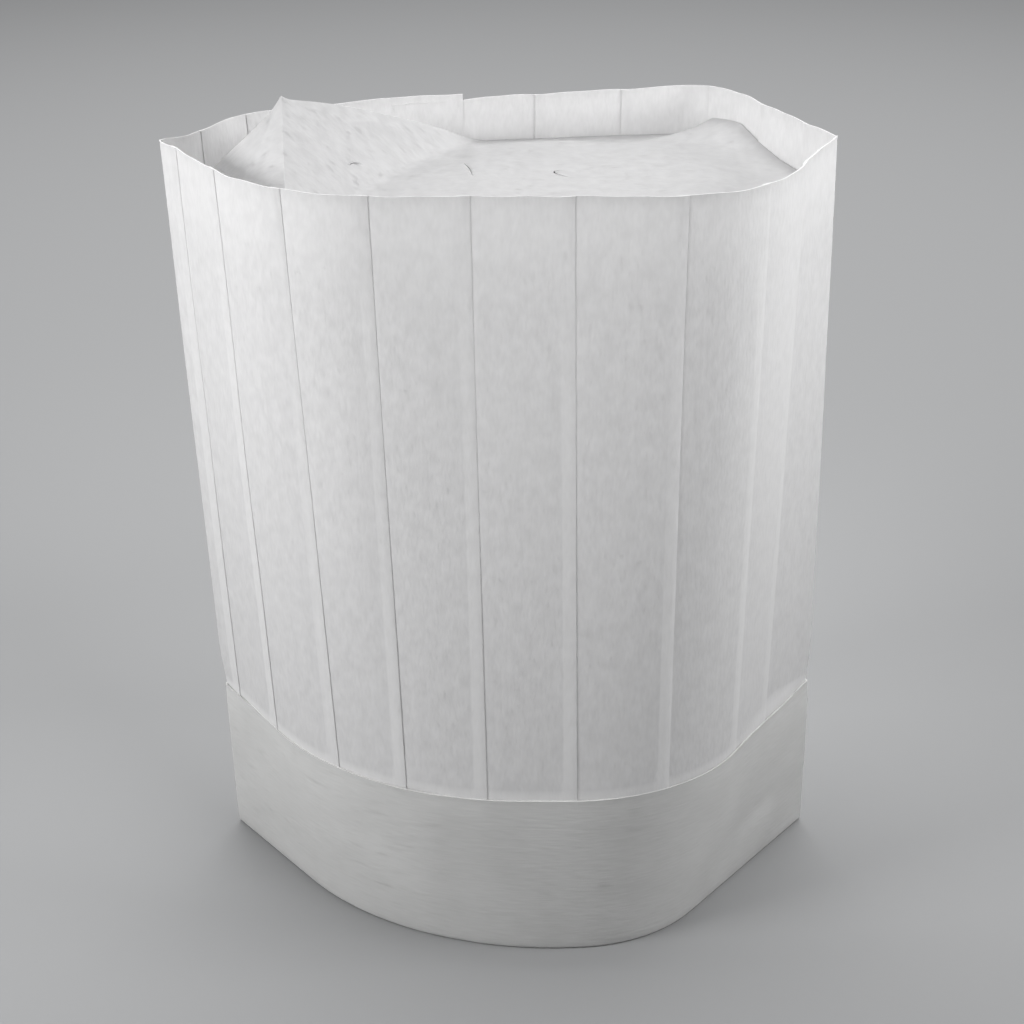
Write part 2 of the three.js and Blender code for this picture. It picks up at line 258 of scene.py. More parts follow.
def grid_sheet(name, points, along, up, backing_light_paint=None):
    """A sheet from rows and columns of points. Each column lies so far along the flat sheet, each row up it."""
    flat = np.stack(np.broadcast_arrays(along[None], up[:, None]), axis=-1)
    return make_sheet(name, points.reshape(-1, 3), grid_faces(*points.shape[:2]), flat.reshape(-1, 2), backing_light_paint)


def row_numbers(points, row):
    """The numbers of the points in one row: the row times the columns, and on."""
    rows, columns = points.shape[:2]
    return np.arange(columns) + row % rows * columns


def apply_modifiers(piece):
    """Makes the piece's modifiers real: the mesh that they give takes the place of its own."""
    graph = bpy.context.evaluated_depsgraph_get()
    finished = bpy.data.meshes.new_from_object(piece.evaluated_get(graph))
    piece.modifiers.clear()
    old, piece.data = piece.data, finished
    bpy.data.meshes.remove(old)
    finished.name = piece.name
    return finished


def thicken(piece, thickness, cut_edge=None, edge_thickness=None):
    """Solidify with half the thickness to each side of the sheet, made real at once, with creases kept sharp.

    A cut edge of nonwoven stands up in loose fibres, so the points of an edge may be given a greater thickness.
    """
    solidify = piece.modifiers.new("thickness", "SOLIDIFY")
    solidify.thickness = thickness * MM
    if cut_edge is not None:
        group = piece.vertex_groups.new(name="cut_edge")
        group.add(cut_edge.tolist(), 1.0, "REPLACE")
        solidify.thickness = edge_thickness * MM
        solidify.vertex_group = group.name
        solidify.thickness_vertex_group = thickness / edge_thickness
    solidify.offset = 0
    finished = apply_modifiers(piece)
    finished.set_sharp_from_angle(angle=np.radians(SHARP_ANGLE))
    triangles = sum(len(polygon.vertices) - 2 for polygon in finished.polygons)
    print(piece.name, "has", triangles, "triangles")


def smooth_step(part):
    """From nought to one with a level start and end: three times the square less twice the cube."""
    return part * part * (3 - 2 * part)


def parabola(start, middle, end, part):
    """The parabola through three values, at nought, a half and one."""
    return start * (1 - part) * (1 - 2 * part) + middle * 4 * part * (1 - part) + end * part * (2 * part - 1)


def waves(across, up, size, seed, count=7, shortest=35, longest=120):
    """Soft unevenness: a sum of sine waves of fixed random direction, length and phase, scaled to a size."""
    random = np.random.default_rng(seed)
    angle = random.uniform(-0.5, 0.5, count)
    wavelength = random.uniform(shortest, longest, count)
    phase = random.uniform(0, 2 * np.pi, count)
    total = np.zeros(np.broadcast(across, up).shape)
    for turn, length, start in zip(angle, wavelength, phase):
        total += np.sin(2 * np.pi * (across * np.cos(turn) + up * np.sin(turn)) / length + start)
    return size * total / np.sqrt(count)


# %% [markdown]
# The crown's pleats.
#
# Each pleat is a knife pleat: the sheet runs out to a folded edge, turns back behind itself for about 4 mm, and
# turns again into the next panel, so that three layers lie on each other in a narrow strip. Those strips are
# what reads as pale vertical bands in a thin sheet. They could be painted, or raised as ribs, but only real
# layers take the light as the hat does, so the layers here are real, and the finish paints them whiter as well,
# as painted light. A column of the grid is described by the share of the half where it lies, at the band and at
# the rim, by a slide along the sheet and by how deep in the stack it is. Two half circles make each fold.

# %% The pleats
CROWN_FOOT = 45

# How far apart a pleat's layers lie: on the front at the band, half way up and at the rim, and on the back.
LAYER_STEP = (0.22, 0.32, 0.2)
BACK_LAYER_STEP = 0.175

TUCK_AT_BAND = 4.5
TUCK_AT_RIM = 3.7

# Into how many steps a panel, a fold's half circle and a tuck are divided.
PANEL_STEPS = 18
FOLD_STEPS = 5
TUCK_STEPS = 3

# The sheet's inner end at the seam and the width of the lap, as shares of the back half.
SEAM_PLACE = 0.421
SEAM_LAP = 0.085

# Each pleat's folded edge as a share of its half, from the left crease to the right: (at the band, at the rim).
FRONT_PLEATS = [
    (0.040, 0.042), (0.1445, 0.1465), (0.268, 0.258), (0.363, 0.357), (0.4605, 0.461), (0.5625, 0.568),
    (0.675, 0.684), (0.800, 0.786), (0.880, 0.886),
]
BACK_PLEATS_LEFT_OF_SEAM = [(0.085, 0.085), (0.172, 0.168), (0.262, 0.257)]
BACK_PLEATS_RIGHT_OF_SEAM = [(0.525, 0.521), (0.630, 0.626), (0.737, 0.735), (0.840, 0.842), (0.940, 0.944)]

# How far the rim has sunk along the back half, piece by piece: (share of the half, millimetres).
RIM_SUNK_LEFT_OF_SEAM = [(0, 0), (0.05, 1.6), (0.10, 1.3), (0.20, 0.7), (0.34, 0.5), (0.43, 0)]
RIM_SUNK_RIGHT_OF_SEAM = [(0.30, 2.8), (0.42, 2.6), (0.45, 1.5), (0.53, 1.1), (0.63, 0.6), (0.72, 0), (1, 0)]

# A column is (share at the band, share at the rim, slide in layer steps, slide in tucks, depth in layer steps,
# how much it bulges).
DEPTH, BULGE = 4, 5


def panel_columns(start, end):
    """A panel between two folds: columns in a straight blend, but the depth follows a smooth step, so that the
    panel dips behind the fold before it, and the bulge is half a sine wave to the power 0.8."""
    part = np.linspace(0, 1, PANEL_STEPS + 1)[:, None]
    columns = blend(start, end, part)
    columns[:, [DEPTH]] = blend(start[DEPTH], end[DEPTH], smooth_step(part))
    columns[:, [BULGE]] = np.sin(np.pi * part) ** 0.8
    return columns


def fold_columns(fold):
    """The outer half circle at the folded edge, the tuck, and the inner half circle at its end."""
    outer = np.radians(np.linspace(90, -90, FOLD_STEPS))
    inner = np.radians(np.linspace(90, 270, FOLD_STEPS))
    tuck = np.linspace(0, 1, TUCK_STEPS + 2)[1:-1]
    slide = np.concatenate([-0.5 + 0.5 * np.cos(outer), -0.5 + tuck, 0.5 + 0.5 * np.cos(inner)])
    tucks = np.concatenate([0 * outer, -tuck, 0 * inner - 1])
    depth = np.concatenate([0.5 + 0.5 * np.sin(outer), 0 * tuck, -0.5 + 0.5 * np.sin(inner)])
    return np.stack([0 * slide + fold[0], 0 * slide + fold[1], slide, tucks, depth, 0 * slide], axis=1)


def pleated_columns(pleats, start, end):
    """Panels and folds in turn, from one end of a run to the other."""
    parts = []
    here = np.array(start, float)
    for pleat in pleats:
        folded = fold_columns(pleat)
        parts += [panel_columns(here, folded[0])[:-1], folded[:-1]]
        here = folded[-1]
    parts.append(panel_columns(here, np.array(end, float)))
    return np.concatenate(parts)


left_crease = (0, 0, 0, 0, 0, 0)
right_crease = (1, 1, 0, 0, 0, 0)
inner_end = (SEAM_PLACE, SEAM_PLACE, 0, 0, -0.5, 0)
outer_end = (SEAM_PLACE - SEAM_LAP, SEAM_PLACE - SEAM_LAP, 0, 0, 0.5, 0)
back_left = pleated_columns(BACK_PLEATS_LEFT_OF_SEAM, left_crease, inner_end)[::-1]
front = pleated_columns(FRONT_PLEATS, left_crease, right_crease)[1:]
back_right = pleated_columns(BACK_PLEATS_RIGHT_OF_SEAM, outer_end, right_crease)[::-1][1:]
crown_columns = np.concatenate([back_left, front, back_right])
crown_is_front = np.repeat([False, True, False], [len(back_left), len(front), len(back_right)])

# The finish's painted strip light needs the folded edges on both sides of each column, to know where the
# sheet lies in three layers.
FAR_AWAY = 9
NUDGE = 1e-6


def panel_ends(columns, pleats):
    """The folded edges before and after each column, or a place far away where there is none. A fold's own
    columns are nudged off its edge: past it behind the tuck, and short of it before."""
    edges = np.array([(-FAR_AWAY, -FAR_AWAY), *pleats, (FAR_AWAY, FAR_AWAY)])
    inside = columns[:, 0] + np.where(columns[:, 3] < -0.5, NUDGE, -NUDGE)
    after = np.searchsorted(edges[:, 0], inside)
    return np.concatenate([edges[after - 1], edges[after]], axis=1)


ends_of_panels = np.concatenate([
    panel_ends(back_left, BACK_PLEATS_LEFT_OF_SEAM),
    panel_ends(front, FRONT_PLEATS),
    panel_ends(back_right, BACK_PLEATS_RIGHT_OF_SEAM),
])
print("The crown has", len(crown_columns), "columns")

# %% [markdown]
# The crown as one surface.
#
# The whole pleated sheet is one function of a column and a height. The place along the half slides from its
# share at the band to its share at the rim, so pleats lean where the real ones lean. The depth moves the point
# in or out along the plan's normal, and soft waves keep the panels from looking ruled. Blender's cloth could
# have been used, but knife pleats are pressed in, and a formula keeps them where the photograph has them.

# %% The crown
BAND_SHEET = 0.3
CROWN_SHEET = 0.16
BAND_GAP = 1.9
ROWS_IN_BAND = 3
ROWS_ABOVE_BAND = 52

# A cut edge thickens to EDGE_THICKNESS over its last EDGE_DEPTH.
EDGE_THICKNESS = 0.5
EDGE_DEPTH = 0.6

# How far the pleats lie inside the plan at the rim, and how that shrinks near the two creases.
RIM_INSET = 0.9
CREASE_REACH = 7
CREASE_SHARE = 0.9
CREASE_RISE = 15

# The panels swell between their pleats, most of all a little above the middle, and the back rim is scalloped.
PANEL_SWELL_AT_BAND = 0.12
PANEL_SWELL_ABOVE = {"front": 0.85, "back": 0.2}
RIM_SCALLOP = 0.22
FREE_TURN = 0.93
FREE_POWER = 1.3

# Added to the travel along the back, so that its waves don't repeat the front's.
BACK_WAVES_FROM = 700

# The crown's colour is painted whiter where cloth lies behind it, as painted light. A zone with cloth behind it
# begins to show outside its edge and shows fully inside it. The pleats' painted strips lose the fade below on
# the way up, and the painted light over the band's inner wall gains the slope below for each millimetre down.
LIGHT_STRIP_EDGE = {"outside": -0.35, "inside": 0.25}
LIGHT_STRIP_FADE = 0.4
WALL_LIGHT_SLOPE = 0.5

# Between the last two pleats of the front the colour is painted a little whiter all over.
WHITER_PANEL = {"from": 0.79, "to": 0.89, "value": -0.08}

# The band's inner wall stands taller than the outer one, and most of all towards the right crease.
INNER_BAND_HEIGHT = 63.5
WALL_RISE = {"height": 4.5, "place": 0.9, "reach": 0.06}

# The top sheet's edge is glued inside the crown from this height up, and the crown's colour is painted whiter
# there, as painted light for the layer behind it.
GLUE_LIGHT_FROM = 221
GLUE_LIGHT_FADE = 11


def crown_middle(place, run, height):
    """How far the middle of the pleats lies inside the plan.

    It blends from the middle of the headband's gap to RIM_INSET at the rim. Near the two creases, where the sheet
    is single, it comes out nearly to the plan above the band, by a bell curve CREASE_REACH wide.
    """
    share = share_above_band(height)
    inset = blend(BAND_SHEET / 2 + BAND_GAP / 2, RIM_INSET, share)
    to_crease = np.minimum(place, 1 - place) * run
    near_crease = np.exp(-((to_crease / CREASE_REACH) ** 2)) * np.clip(share * CREASE_RISE, 0, 1)
    return inset * (1 - CREASE_SHARE * near_crease)


def inner_wall_top(is_front, place):
    """The upper edge of the band's inner wall: level, with a bell curve near the right end of the front."""
    bell = np.exp(-(((place - WALL_RISE["place"]) / WALL_RISE["reach"]) ** 2))
    return INNER_BAND_HEIGHT + WALL_RISE["height"] * bell * is_front


def painted_backing_light(is_front, place, height, strip):
    """How strongly something shows behind the sheet, as painted light in the crown's colour: a pleat's other
    layers, the band's inner wall or the top sheet's edge.

    Each is a ramp from outside to inside, the largest counts, and only the wall goes past inside, to 1. The
    pleats' painted light grows less and less towards the rim, where more light falls inside the hat.
    """
    # Painted light: the crown's colour is painted whiter over the pleats' strips, the glued edge and the band's
    # inner wall.
    outside, inside = LIGHT_STRIP_EDGE["outside"], LIGHT_STRIP_EDGE["inside"]
    strip = np.minimum(strip, inside - LIGHT_STRIP_FADE * share_above_band(height))
    glued_light = outside + (inside - outside - LIGHT_STRIP_FADE) * (height - GLUE_LIGHT_FROM) / GLUE_LIGHT_FADE
    glued_light = np.minimum(glued_light, inside - LIGHT_STRIP_FADE)
    wall = outside + (inner_wall_top(is_front, place) + BAND_SHEET - height) * WALL_LIGHT_SLOPE
    return np.clip(np.maximum(np.minimum(np.maximum(strip, glued_light), inside), wall), NO_BACKING_LIGHT, 1)


def rim_lift(share, travel, bulge):
    """How far the rim is raised: scallops and short waves, which grow with the eighth power of the way up, less
    what the back has sunk, which grows with the cube."""
    sunk = np.zeros(len(crown_columns))
    sunk[:len(back_left)] = np.interp(back_left[:, 1], *np.transpose(RIM_SUNK_LEFT_OF_SEAM))
    sunk[-len(back_right):] = np.interp(back_right[:, 1], *np.transpose(RIM_SUNK_RIGHT_OF_SEAM))
    scallop = RIM_SCALLOP * bulge * ~crown_is_front * share ** 8
    uneven = waves(travel, 0 * travel, size=0.14, seed=8, shortest=8, longest=60)
    return scallop - sunk * share ** 3 + uneven * share ** 8


def pleat_strip_light(place, run, share, tuck):
    """How far inside a strip of three layers each point lies, in millimetres, for the painted light of the strips:
    the tuck's width less the distance to the nearer fold. One panel is painted a little whiter all over."""
    before_band, before_rim, after_band, after_rim = ends_of_panels.T[:, None, :]
    to_next = (blend(after_band, after_rim, share) - place) * run
    from_last = (place - blend(before_band, before_rim, share)) * run + tuck
    strip = tuck - np.minimum(to_next, np.maximum(from_last, 0))
    on_whiter_panel = crown_is_front & (before_band >= WHITER_PANEL["from"]) & (after_band <= WHITER_PANEL["to"])
    return np.where(on_whiter_panel, np.maximum(strip, WHITER_PANEL["value"]), strip)


def crown_surface(heights):
    """Points of the crown, rows by columns, and how strongly something shows behind each, for the painted light in
    its colour.

    The place blends from its share at the band to its share at the rim, and slides with the folds and the tuck.
    The offset is the depth in layer steps, plus the panel's swell and soft waves, less the inset of the pleats'
    middle. Half a sine wave holds swell and waves at the band and at the rim.
    """
    share = share_above_band(heights)[:, None]
    layer = np.where(crown_is_front, parabola(*LAYER_STEP, share), BACK_LAYER_STEP)
    tuck = blend(TUCK_AT_BAND, TUCK_AT_RIM, share)
    at_band, at_rim, slide, tucks, depth, bulge = crown_columns.T[:, None, :]
    front_run, back_run = half_length("front", heights)[:, None], half_length("back", heights)[:, None]
    run = np.where(crown_is_front, front_run, back_run)
    place = np.clip(blend(at_band, at_rim, share) + (slide * layer + tucks * tuck) / run, 0, 1)
    height = np.broadcast_to(heights[:, None], place.shape)
    free = np.sin(FREE_TURN * np.pi * share ** FREE_POWER)
    travel = place * run + BACK_WAVES_FROM * ~crown_is_front
    uneven = waves(travel, height, size=0.2, seed=3) * free
    swell_above = np.where(crown_is_front, PANEL_SWELL_ABOVE["front"], PANEL_SWELL_ABOVE["back"])
    swell = bulge * blend(PANEL_SWELL_AT_BAND, swell_above, free)
    offset = depth * layer + swell + uneven - crown_middle(place, run, height)
    ground = outline(crown_is_front, place, height, offset)
    points = with_height(ground, height + rim_lift(share, travel, bulge))
    # How far each point lies inside a strip, for the painted light in its colour.
    strip = pleat_strip_light(place, run, share, tuck)
    return points, painted_backing_light(crown_is_front, place, height, strip)


low_rows = np.linspace(CROWN_FOOT, BAND_HEIGHT, ROWS_IN_BAND + 1)[:-1]
high_rows = np.linspace(BAND_HEIGHT, HAT_HEIGHT - EDGE_DEPTH, ROWS_ABOVE_BAND)
crown_heights = np.concatenate([low_rows, high_rows, [HAT_HEIGHT]])
crown_points, crown_backing_light = crown_surface(crown_heights)
crown_travel = distance_along(crown_points[len(crown_heights) // 2])
crown = grid_sheet("pleated_crown", crown_points, crown_travel, crown_heights, crown_backing_light.ravel())
thicken(crown, CROWN_SHEET, row_numbers(crown_points, -1), EDGE_THICKNESS)

# %% [markdown]
# The headband.
#
# The band is one strip about 125 mm wide, folded double along its lower edge, with the foot of the crown
# glued between its two walls and its inner wall left a few millimetres taller. A profile carried along a path
# is the natural way to make it: down the outside, round the fold, up the inside. The strip's ends lap at the
# back, the left end outside, so the path runs once round and a little further, and the two ends ride apart.
# Folding a flat strip with a cloth simulation would take longer and hit the crown less exactly.

# %% The headband
BAND_EDGE_THICKNESS = 0.6
FOLD_RADIUS = BAND_GAP / 2
BAND_COLUMNS = 150
BAND_ROWS = 26
FOLD_ROWS = 9

# The lap runs between two shares of the back half. The outer end rises by LAP_LIFT, within LAP_EASE before it.
BAND_LAP = (0.4, 0.5)
LAP_LIFT = 0.42
LAP_EASE = 0.05

# The outer wall leans in by EDGE_LEAN at its upper edge, over the last EDGE_LEAN_REACH of its height.
EDGE_LEAN = 0.4
EDGE_LEAN_REACH = 12

# For the waves along the band: about the length of one half, and the height where they reach their full size.
BAND_RUN = 280
WAVES_FULL_AT = 30

# Soft dents pressed into the front of the band: two level ones at the right and an upright one left of the
# middle. Each is (share of the half, height, reach along the band, reach up it, depth).
BAND_DENTS = [(0.89, 22, 26, 5, 0.6), (0.80, 14, 14, 6, 0.4), (0.42, 40, 7, 40, 0.35)]


def band_profile():
    """(offset, height) down the outer wall, round the fold by a half circle, and up the inner wall.

    The outer wall's upper edge leans in by a parabola, since it is pressed against the crown.
    """
    outer = np.append(BAND_HEIGHT, np.linspace(BAND_HEIGHT - EDGE_DEPTH, FOLD_RADIUS, BAND_ROWS))
    inner = np.append(np.linspace(FOLD_RADIUS, INNER_BAND_HEIGHT - EDGE_DEPTH, BAND_ROWS), INNER_BAND_HEIGHT)
    turn = np.radians(np.linspace(0, -180, FOLD_ROWS))[1:-1]
    pressed_edge = -EDGE_LEAN * np.clip((outer - BAND_HEIGHT) / EDGE_LEAN_REACH + 1, 0, 1) ** 2
    fold = -FOLD_RADIUS + FOLD_RADIUS * np.cos(turn)
    offset = np.concatenate([pressed_edge, fold, 0 * inner - BAND_GAP])
    height = np.concatenate([outer, FOLD_RADIUS + FOLD_RADIUS * np.sin(turn), inner])
    return offset - BAND_SHEET / 2, np.maximum(height, 0) + BAND_SHEET / 2


def band_dent(is_front, place, height):
    """How far the band is pressed in: the sum of two-way bell curves round the dents' middles."""
    run = half_length("front", BAND_HEIGHT / 2)
    total = np.zeros(np.broadcast(place, height).shape)
    for middle, level, reach_along, reach_up, depth in BAND_DENTS:
        along = (place - middle) * run / reach_along
        up = (height - level) / reach_up
        total += depth * is_front * np.exp(-(along ** 2) - up ** 2)
    return total


def band_surface():
    """The profile at every column of the path.

    The outer end is lifted over the inner one by a smooth step. Soft waves fade out towards the folded edge, and
    those of the upper edge grow with the fourth power of the height. The inner wall stretches evenly to its top.
    """
    lap_start, lap_end = BAND_LAP
    left_part = np.linspace(lap_end, 0, BAND_COLUMNS // 2)
    front_part = np.linspace(0, 1, BAND_COLUMNS)[1:]
    right_part = np.linspace(1, lap_start, BAND_COLUMNS // 2)[1:]
    place = np.concatenate([left_part, front_part, right_part])
    is_front = np.repeat([False, True, False], [len(left_part), len(front_part), len(right_part)])
    near_lap = np.clip((place - lap_start + LAP_EASE) / LAP_EASE, 0, 1)
    lift = np.where(np.arange(len(place)) < len(left_part), smooth_step(near_lap), 0)
    offset, height = (values[:, None] for values in band_profile())
    travel = place * BAND_RUN + BACK_WAVES_FROM * ~is_front
    held = np.clip(height / WAVES_FULL_AT, 0, 1)
    uneven = waves(travel, height, size=0.22, seed=5, shortest=45, longest=140) * held
    edge_wave = waves(travel, 0 * height, size=0.1, seed=6) * (height / BAND_HEIGHT) ** 4
    across = offset + lift * LAP_LIFT + uneven - band_dent(is_front, place, height)
    ground = outline(is_front, place[None], np.minimum(height, BAND_HEIGHT), across)
    inner_part = np.clip((height - FOLD_RADIUS) / INNER_BAND_HEIGHT, 0, 1) * (offset < -BAND_GAP)
    taller = (inner_wall_top(is_front, place) - INNER_BAND_HEIGHT) * inner_part
    return with_height(ground, np.broadcast_to(height + edge_wave + taller, ground.shape[:2]))


band_points = band_surface()
band_travel = distance_along(band_points[0])
band_width = distance_along(band_points[:, 0])
band = grid_sheet("folded_headband", band_points, band_travel, band_width)
both_edges = np.concatenate([row_numbers(band_points, 0), row_numbers(band_points, -1)])
thicken(band, BAND_SHEET, both_edges, BAND_EDGE_THICKNESS)

# %% [markdown]
# The top sheet.
#
# The top of the crown is closed by a sheet whose edge is turned down and glued inside it. Folded flat, it lies
# in half; opened, most of it lies flat but its left end stays up as a gusset, where three folds meet in a peak.
# Such a shape is a cone: straight lines run from the peak to the wall. So the grid is polar, with its pole at
# the peak, a column for each direction and a row for each share of the way to the wall. Columns fall exactly
# on the three folds, which keeps them sharp.

# %% The top sheet's shape
PANEL_SHEET = 0.16
PANEL_LEVEL = 237
FLANGE_FOOT = 225
PANEL_RINGS = 96
PANEL_DIRECTIONS = 160
FLANGE_RINGS = 8

# Near the left crease the sheet's edge drops, by this much at the crease itself.
CREASE_DROP = 7
CREASE_DROP_REACH = 0.15

# The gusset: its peak with a small horn, its folds as shares of the front and the back half, the bow of the
# ridge at the back fold, and how softly its foot turns into the sheet.
PEAK = (-74, 0, 266.6)
HORN = {"height": 1.6, "reach": 1.6}
FRONT_FOLD = 0.26
BACK_FOLD = 0.437
RIDGE_BOW = 0.9
RIDGE_REACH = 0.2
FOOT_SOFTNESS = 0.0016

# The low swelling in the middle, and how fast creases and waves fade in from the wall.
CROWNING = {"height": 5, "x": 10, "half_length": 88, "half_depth": 64}
OFF_WALL_FADE = 6

# The flange hangs this far inside the middle of the pleats, and the sheet's edge reaches a little further out.
FLANGE_DEPTH = 0.37
EDGE_TOUCH = 0.15

# The back right corner of the sheet stands up where it was pushed in: (share of the back half, height). It
# falls off inwards with a high power of the way to the wall.
CORNER_LIFT = [(0.700, 0), (0.727, 6.2), (0.785, 7.2), (0.830, 4.0), (0.880, 1.4), (0.950, 0)]
CORNER_POWER = 12

# Creases pressed into the sheet while it lay folded: (start in the plan, end, height, half width).
PRESSED_CREASES = [
    ((-55, 11), (-45, 25), 0.5, 1.2),
    ((-42.5, 26), (-39, 31), 0.4, 1.2),
    ((-70, -15), (-58, -2), -0.4, 1.5),
    ((-29, 40), (-17, 24), -0.5, 2.5),
    ((-46.5, 4), (-44, -50), 0.35, 2.0),
    ((-14, 50), (-8, -60), 0.6, 4.0),
]
CREASE_FADE = 2


def direction_places():
    """Where the columns meet the wall: once round the plan, with the two folds exactly on a column."""
    even = np.linspace(0, 1, PANEL_DIRECTIONS)
    round_front = np.sort(np.append(even, FRONT_FOLD))
    round_back = np.sort(np.append(even[1:-1], BACK_FOLD))[::-1]
    place = np.concatenate([round_front, round_back])
    return place, np.arange(len(place)) < len(round_front)


def wall_point(is_front, place, height, depth=0):
    """A point on the flange, or a depth inside it: the plan, moved in by the inset of the pleats' middle and by
    the flange's own depth, which brings it against the crown's innermost layer."""
    run = np.where(is_front, half_length("front", height), half_length("back", height))
    return outline(is_front, place, height, -crown_middle(place, run, height) - FLANGE_DEPTH - depth)


def gusset_reach(wall):
    """The share of the way from the peak to the wall where the gusset meets the flat sheet: the crossing with
    the line between the front and the back fold, or the wall itself if the column doesn't cross that line."""
    peak = np.array(PEAK[:2])
    level = np.array([PANEL_LEVEL])
    front_end = wall_point(True, np.array([FRONT_FOLD]), level)[0]
    back_end = wall_point(False, np.array([BACK_FOLD]), level)[0]
    line, ray, gap = back_end - front_end, wall - peak, front_end - peak
    crossing = (gap[0] * line[1] - gap[1] * line[0]) / (ray[:, 0] * line[1] - ray[:, 1] * line[0])
    return np.where((crossing > 0) & (crossing < 1), crossing, 1)


def pressed(point):
    """The sum of the pressed creases: each is a pointed bell curve of the distance from its line, and fades
    evenly over CREASE_FADE to both sides of its ends."""
    total = np.zeros(point.shape[:-1])
    for first, last, height, width in PRESSED_CREASES:
        start, end = np.array(first, float), np.array(last, float)
        length = np.linalg.norm(end - start)
        along = (point - start) @ (end - start) / length
        across = ((point - start) @ np.array([start[1] - end[1], end[0] - start[0]])) / length
        begun = np.clip((along + CREASE_FADE) / (2 * CREASE_FADE), 0, 1)
        inside = begun * np.clip((length + CREASE_FADE - along) / (2 * CREASE_FADE), 0, 1)
        total += height * inside * np.exp(-np.abs(across / width) ** 1.5)
    return total


def panel_height(point, share, reach, level, bow):
    """The height of the sheet, as a sum of plain shapes.

    They are the flat level, blended to the wall's own; the gusset's cone, a straight fall from the peak that
    turns softly at its foot and bows up by half a sine wave; a low bowl turned over in the middle; a horn on the
    peak, which falls off as a power of e; and the pressed creases and soft waves, which fade out at the wall.
    """
    lift = level - PANEL_LEVEL
    flat = PANEL_LEVEL + np.minimum(lift, 0) * share + np.maximum(lift, 0) * share ** CORNER_POWER
    fall = 1 - share / reach
    gusset = (PEAK[2] - PANEL_LEVEL) * (fall + np.sqrt(fall * fall + FOOT_SOFTNESS)) / 2
    arch = bow * np.sin(np.pi * np.clip(share / reach, 0, 1))
    across = (point[..., 0] - CROWNING["x"]) / CROWNING["half_length"]
    deep = point[..., 1] / CROWNING["half_depth"]
    swelling = CROWNING["height"] * np.maximum(0, 1 - across ** 2 - deep ** 2)
    uneven = waves(point[..., 0], point[..., 1], size=0.25, seed=12, shortest=25, longest=80)
    from_peak = np.linalg.norm(point - PEAK[:2], axis=-1)
    horn = HORN["height"] * np.exp(-from_peak / HORN["reach"])
    off_wall = np.clip((1 - share) * OFF_WALL_FADE, 0, 1)
    return flat + gusset + horn + arch + swelling + (pressed(point) + uneven) * off_wall


def panel_surface():
    """Rings in equal steps from the peak to the wall, then down the flange. The pole itself isn't among them."""
    place, is_front = direction_places()
    corner = np.interp(place, *np.transpose(CORNER_LIFT))
    level = PANEL_LEVEL - CREASE_DROP * np.maximum(0, 1 - place / CREASE_DROP_REACH) + corner * ~is_front
    wall = wall_point(is_front, place, level, -EDGE_TOUCH)
    reach = gusset_reach(wall)
    bow = RIDGE_BOW * np.where(is_front, 0, np.exp(-((place - BACK_FOLD) / RIDGE_REACH) ** 2))
    share = np.linspace(0, 1, PANEL_RINGS + 1)[1:, None]
    ground = blend(np.array(PEAK[:2]), wall, share[..., None])
    top = with_height(ground, panel_height(ground, share, reach, level, bow))
    down = np.linspace(0, 1, FLANGE_RINGS + 1)[1:, None]
    flange_height = blend(level, FLANGE_FOOT, down)
    flange = wall_point(is_front[None], np.broadcast_to(place, flange_height.shape), flange_height)
    return np.concatenate([top, with_height(flange, flange_height)])


panel_rings = panel_surface()
ring_count, direction_count = panel_rings.shape[:2]
tip = (PEAK[0], PEAK[1], PEAK[2] + HORN["height"])
panel_points = np.concatenate([panel_rings.reshape(-1, 3), [tip]])
panel_faces = grid_faces(ring_count, direction_count, closed=True)
pole = len(panel_points) - 1
first_ring = np.arange(direction_count)
panel_faces += np.stack([0 * first_ring + pole, first_ring, np.roll(first_ring, -1)], axis=1).tolist()
panel = make_sheet("vented_top_sheet", panel_points, panel_faces, panel_points[:, :2].copy())
thicken(panel, PANEL_SHEET)

# %% [markdown]
# The vents.
#
# Three small curved slits in the top sheet let air out. The first two are nearly shut and the last one gapes a
# little. A slit is finer than the sheet's grid, so instead of moving the grid's points it is cut with a boolean
# by a thin bent prism, which is made here and removed again.

# %% The vents
CUTTER_FOOT, CUTTER_TOP = 225.0, 275.0
CUTTER_STEPS = 13

# Each slit is (start in the plan, middle, end, how wide it gapes in the middle).
VENTS = [
    ((-52.6, -6.2), (-51.4, -3.4), (-49.0, -1.2), 0.3),
    ((-16.6, 15.0), (-14.6, 7.5), (-13.2, -2.5), 0.28),
    ((15.8, 6.2), (13.2, 2.8), (18.4, -2.8), 0.5),
]


